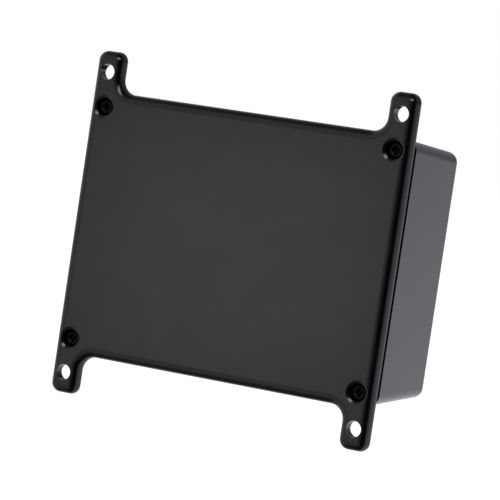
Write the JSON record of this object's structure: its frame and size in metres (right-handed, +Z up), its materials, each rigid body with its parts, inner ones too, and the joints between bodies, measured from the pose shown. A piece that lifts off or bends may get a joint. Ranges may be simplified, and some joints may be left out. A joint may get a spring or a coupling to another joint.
{
  "type": "cellular signal booster",
  "caption": "Black plastic booster box with a flanged, four-eared wall plate, two coaxial jacks and a power socket on one end, board and shielded amplifiers inside.",
  "frame": {"origin": "centre of the mounting face of the back cover", "axes": "+X along the long side of the cover, away from the jacks; +Y out of the wall, into the box; +Z up along the ears"},
  "size_m": [0.1191, 0.0435, 0.1096],
  "materials": {
    "black_abs": "fine satin moulded",
    "black_steel": "black zinc, satin",
    "label_film": "smooth film",
    "clear_pipe": "clear polished",
    "board_laminate": "solder mask",
    "zinc_steel": "satin",
    "black_aluminium": "anodised",
    "silicone_pad": "soft",
    "capacitor_can": "satin",
    "ferrite": "moulded",
    "chip_epoxy": "moulded",
    "led_lens": "clear",
    "jack_plastic": "moulded",
    "nickel": "plated",
    "tin_plate": "bright",
    "silver_ceramic": "silvered",
    "gold_brass": "plated",
    "ptfe": "waxy"
  },
  "bodies": {
    "cover": {"back_cover": "black_abs"},
    "cover_screw_top_left": {"cover_screw_top_left": "black_steel"},
    "cover_screw_top_right": {"cover_screw_top_right": "black_steel"},
    "cover_screw_bottom_left": {"cover_screw_bottom_left": "black_steel"},
    "cover_screw_bottom_right": {"cover_screw_bottom_right": "black_steel"},
    "box": {"housing": "black_abs", "front_label": "label_film", "light_pipe": "clear_pipe", "main_board": "board_laminate", "board_screws": "zinc_steel", "heat_sink": "black_aluminium", "thermal_pad": "silicone_pad", "capacitors": "capacitor_can", "inductor": "ferrite", "controller": "chip_epoxy", "regulator": "chip_epoxy", "status_led": "led_lens", "power_jack_body": "jack_plastic", "power_jack_pin": "nickel", "power_jack_spring": "nickel", "uplink_shield_frame": "tin_plate", "uplink_shield_lid": "tin_plate", "uplink_amplifier": "chip_epoxy", "downlink_shield_frame": "tin_plate", "downlink_shield_lid": "tin_plate", "downlink_amplifier": "chip_epoxy", "outside_duplexer": "silver_ceramic", "outside_jack_body": "gold_brass", "outside_jack_insulator": "ptfe", "outside_jack_contact": "gold_brass", "outside_jack_washer": "nickel", "outside_jack_nut": "nickel", "inside_duplexer": "silver_ceramic", "inside_jack_body": "gold_brass", "inside_jack_insulator": "ptfe", "inside_jack_contact": "gold_brass", "inside_jack_washer": "nickel", "inside_jack_nut": "nickel"}
  },
  "joints": [
    {"name": "cover_screw_top_left_travel", "type": "slide", "parent": "cover", "child": "cover_screw_top_left", "axis": [0, -1, 0], "range_m": [0, 0.016]},
    {"name": "cover_screw_top_right_travel", "type": "slide", "parent": "cover", "child": "cover_screw_top_right", "axis": [0, -1, 0], "range_m": [0, 0.016]},
    {"name": "cover_screw_bottom_left_travel", "type": "slide", "parent": "cover", "child": "cover_screw_bottom_left", "axis": [0, -1, 0], "range_m": [0, 0.016]},
    {"name": "cover_screw_bottom_right_travel", "type": "slide", "parent": "cover", "child": "cover_screw_bottom_right", "axis": [0, -1, 0], "range_m": [0, 0.016]},
    {"name": "box_removal", "type": "slide", "parent": "cover", "child": "box", "axis": [0, 1, 0], "range_m": [0, 0.045]}
  ]
}
